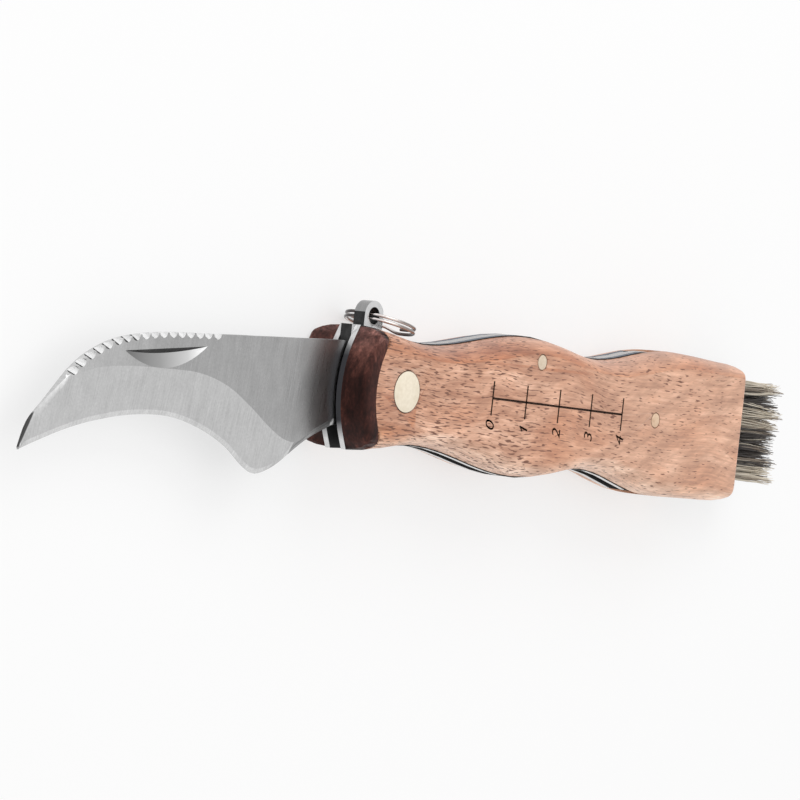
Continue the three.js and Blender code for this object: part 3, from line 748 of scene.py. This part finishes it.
# The locks' tones in rows from the belly to the back, and their shares of each hair
lock_rows = (
    "pale", "pale", "mixed", "dark", "dark", "dark", "dark", "mixed",
    "light", "light", "mixed", "dark", "dark", "light", "pale",
)
lock_shares = {
    "pale": (12, 3, 1),
    "light": (8, 4, 3),
    "mixed": (4, 4, 7),
    "dark": (1, 3, 12),
}
lock_columns = 6
lock_hairs = 19
stray_share = 0.07
tones = {
    "pale": ((0.50, 0.43, 0.33), (0.78, 0.71, 0.59)),
    "brown": ((0.13, 0.095, 0.070), (0.30, 0.24, 0.18)),
    "dark": ((0.014, 0.011, 0.010), (0.060, 0.045, 0.036)),
}
random.seed(7)


def model_hair():
    bpy.ops.object.select_all(action="DESELECT")
    bpy.ops.mesh.primitive_circle_add(vertices=4, radius=1, fill_type="NGON")
    strand = bpy.context.object
    bpy.ops.object.mode_set(mode="EDIT")
    for step in range(hair_rings - 1):
        bpy.ops.mesh.select_all(action="DESELECT")
        bpy.ops.object.mode_set(mode="OBJECT")
        top = max(face.center.z for face in strand.data.polygons)
        for face in strand.data.polygons:
            face.select = abs(face.center.z - top) < 1e-4 and abs(face.normal.z) > 0.9
        bpy.ops.object.mode_set(mode="EDIT")
        bpy.ops.mesh.extrude_region_move(
            TRANSFORM_OT_translate={"value": (0, 0, 1 / (hair_rings - 1))},
        )
    bpy.ops.mesh.select_all(action="SELECT")
    bpy.ops.mesh.normals_make_consistent(inside=False)
    bpy.ops.object.mode_set(mode="OBJECT")
    return strand


pattern = model_hair()
hair_points = np.array([tuple(v.co) for v in pattern.data.vertices])
hair_faces = [tuple(face.vertices) for face in pattern.data.polygons]
bpy.data.objects.remove(pattern)


def hair_in_lock(lock, tip):
    # Hairs of a lock start side by side and draw together towards its tip
    root = Vector((random.gauss(lock.x, 0.55 * mm), random.gauss(lock.y, 0.45 * mm)))
    root.x = max(-half_y, min(half_y, root.x))
    root.y = max(-half_z, min(half_z, root.y))
    gather = random.uniform(0.35, 0.75)
    end = root.lerp(tip, gather) + Vector((random.gauss(0, 0.22), random.gauss(0, 0.22))) * mm
    if random.random() < stray_share:
        end += Vector((random.gauss(0, 0.9), random.gauss(0, 0.7))) * mm
    length = hair_length * random.uniform(0.86, 1.0)
    bow = Vector((random.gauss(0, 0.3), random.gauss(0, 0.3))) * mm
    along = hair_points[:, 2]
    taper = hair_radius * random.uniform(0.8, 1.2) * (1.1 - 0.75 * along ** 2)
    side = np.sin(math.pi * along)
    drift = along ** 1.4
    return np.stack([
        root_x + length * along,
        root_y + root.x + (end.x - root.x) * drift + bow.x * side + hair_points[:, 0] * taper,
        root_z + root.y + (end.y - root.y) * drift + bow.y * side + hair_points[:, 1] * taper,
    ], axis=1)


def hair_material(name, dark, light):
    material, tree, shader = new_material(name, 0.45)
    strand = noise(tree, stretched(tree, (60, 5200, 5200)), detail=2)
    colour = ramp(tree, strand, [(0.3, dark), (0.7, light)])
    colour = times(tree, 1, colour, along_x(tree, root_x, root_x + hair_length, 0.5, 1.3))
    tree.links.new(colour, shader.inputs["Base Color"])
    return material


strands = {tone: [] for tone in tones}
for row, lock_kind in enumerate(lock_rows):
    for column in range(lock_columns):
        lock = Vector((
            half_y * (2 * (row + 0.5) / len(lock_rows) - 1) + random.gauss(0, 0.25 * mm),
            half_z * (2 * (column + 0.5) / lock_columns - 1) + random.gauss(0, 0.25 * mm),
        ))
        tip = lock + Vector((random.gauss(0, 0.75), random.gauss(0, 0.6))) * mm
        shares = lock_shares[random.choice((lock_kind, lock_kind, "light"))]
        for i in range(lock_hairs):
            tone = random.choices(("pale", "brown", "dark"), shares)[0]
            strands[tone].append(hair_in_lock(lock, tip))

for tone, (dark, light) in tones.items():
    faces = []
    for i in range(len(strands[tone])):
        start = i * len(hair_points)
        faces.extend(tuple(start + k for k in face) for face in hair_faces)
    mesh = bpy.data.meshes.new(f"bristles_{tone}")
    mesh.from_pydata(np.concatenate(strands[tone]).tolist(), [], faces)
    tuft = bpy.data.objects.new(f"bristles_{tone}", mesh)
    bpy.context.scene.collection.objects.link(tuft)
    select_only(tuft)
    bpy.ops.object.mode_set(mode="EDIT")
    bpy.ops.mesh.select_all(action="SELECT")
    bpy.ops.mesh.normals_make_consistent(inside=False)
    bpy.ops.object.mode_set(mode="OBJECT")
    bpy.ops.object.shade_smooth()
    coat(tuft, hair_material(f"bristle_{tone}", dark, light))
    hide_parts("bristles")
    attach(tuft, "handle")


# Floor, light and camera. A pale sheet under the knife, soft boxes round it, and the lens
# and place of the photograph, worked out from the ruler's ticks.
floor_size = 6
floor_glow = 0.62
bpy.ops.object.select_all(action="DESELECT")
bpy.ops.mesh.primitive_plane_add(size=floor_size, location=(0, 0, 0))
floor = bpy.context.object
floor.name = "floor"
floor_material, floor_tree, floor_shader = new_material("pale_floor", 0.9)
floor_shader.inputs["Base Color"].default_value = (0.90, 0.90, 0.90, 1)
floor_shader.inputs["Specular IOR Level"].default_value = 0
coat(floor, floor_material)


def seen_directly(tree):
    # 1 where the eye, or a mirror or glass, looks at the backdrop, 0 for the light it gives
    rays = tree.nodes.new("ShaderNodeLightPath")
    total = add(tree, rays.outputs["Is Camera Ray"], rays.outputs["Is Glossy Ray"])
    return add(tree, total, rays.outputs["Is Transmission Ray"])


white = floor_tree.nodes.new("ShaderNodeEmission")
blend = floor_tree.nodes.new("ShaderNodeMixShader")
glow = floor_tree.nodes.new("ShaderNodeMath")
glow.operation = "MULTIPLY"
glow.inputs[1].default_value = floor_glow
floor_tree.links.new(seen_directly(floor_tree), glow.inputs[0])
floor_tree.links.new(glow.outputs[0], blend.inputs["Fac"])
floor_tree.links.new(floor_shader.outputs[0], blend.inputs[1])
floor_tree.links.new(white.outputs[0], blend.inputs[2])
floor_tree.links.new(blend.outputs[0], floor_tree.nodes["Material Output"].inputs["Surface"])

# A dark card in front of the point, which only the steel mirrors
bpy.ops.mesh.primitive_plane_add(size=1, location=(-0.42, 0, 0.001))
dark_card = bpy.context.object
dark_card.name = "dark_card"
dark_card.scale = (0.6, 1.6, 1)
bpy.ops.object.transform_apply(location=True, rotation=True, scale=True)
card_material, _, card_shader = new_material("dark_card", 0.9)
card_shader.inputs["Base Color"].default_value = (0.03, 0.03, 0.03, 1)
coat(dark_card, card_material)
for ray in ("visible_camera", "visible_diffuse", "visible_shadow"):
    setattr(dark_card, ray, False)

world = bpy.data.worlds.new("studio")
bpy.context.scene.world = world
world.use_nodes = True
background = world.node_tree.nodes["Background"]
background.inputs["Color"].default_value = (1, 1, 1, 1)
world_light = 0.72
level = world.node_tree.nodes.new("ShaderNodeMath")
level.operation = "MULTIPLY_ADD"
level.inputs[1].default_value = 1 - world_light
level.inputs[2].default_value = world_light
world.node_tree.links.new(seen_directly(world.node_tree), level.inputs[0])
world.node_tree.links.new(level.outputs[0], background.inputs["Strength"])


knife_middle = Vector((0.01, 0, 0))


def soft_box(name, place, size, power):
    light = bpy.data.lights.new(name, "AREA")
    light.shape = "RECTANGLE"
    light.size = size[0]
    light.size_y = size[1]
    light.energy = power
    lamp = bpy.data.objects.new(name, light)
    bpy.context.scene.collection.objects.link(lamp)
    lamp.location = place
    lamp.rotation_euler = (knife_middle - lamp.location).to_track_quat("-Z", "Y").to_euler()


soft_box("back_light", (0.05, 0.7, 0.55), (0.7, 0.5), 2.2)
soft_box("top_light", (-0.1, 0.1, 0.9), (0.8, 0.8), 1.9)

camera_data = bpy.data.cameras.new("camera")
camera_data.sensor_width = 36
camera_data.lens = 161.06
camera = bpy.data.objects.new("camera", camera_data)
bpy.context.scene.collection.objects.link(camera)
camera_right = Vector((0.60157, 0.11098, 0.79107))
camera_up = Vector((-0.07298, 0.99380, -0.08393))
camera_back = Vector((-0.79548, -0.00724, 0.60594))
camera_place = Vector((-472.09, -5.75, 374.32)) * mm
camera.matrix_world = Matrix((
    (*camera_right, 0), (*camera_up, 0), (*camera_back, 0), (*camera_place, 1),
)).transposed()
camera_data.clip_start = 0.01
bpy.context.scene.camera = camera
bpy.context.scene.view_settings.view_transform = "Standard"
